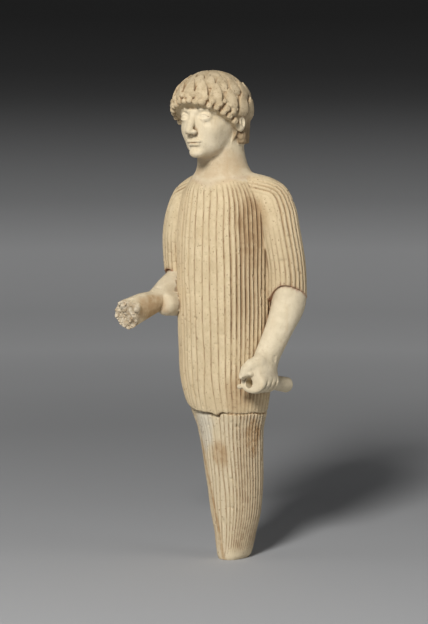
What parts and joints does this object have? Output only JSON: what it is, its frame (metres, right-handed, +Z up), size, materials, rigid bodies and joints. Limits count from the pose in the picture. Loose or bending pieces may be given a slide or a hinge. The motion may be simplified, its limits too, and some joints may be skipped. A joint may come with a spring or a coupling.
{
  "type": "votary statue",
  "caption": "Standing limestone votary in a long pleated tunic and a wreath, holding a branch stump in the lowered fist, with a strut at the other wrist.",
  "frame": {"origin": "middle of the flat underside that the statue stands on", "axes": "+Z up, the figure faces -Y, +X towards its left hand"},
  "size_m": [0.3737, 0.2974, 1.102],
  "materials": {
    "limestone": "matt, fine-grained and worn"
  },
  "bodies": {
    "root": {"votary_statue": "limestone"}
  },
  "joints": []
}
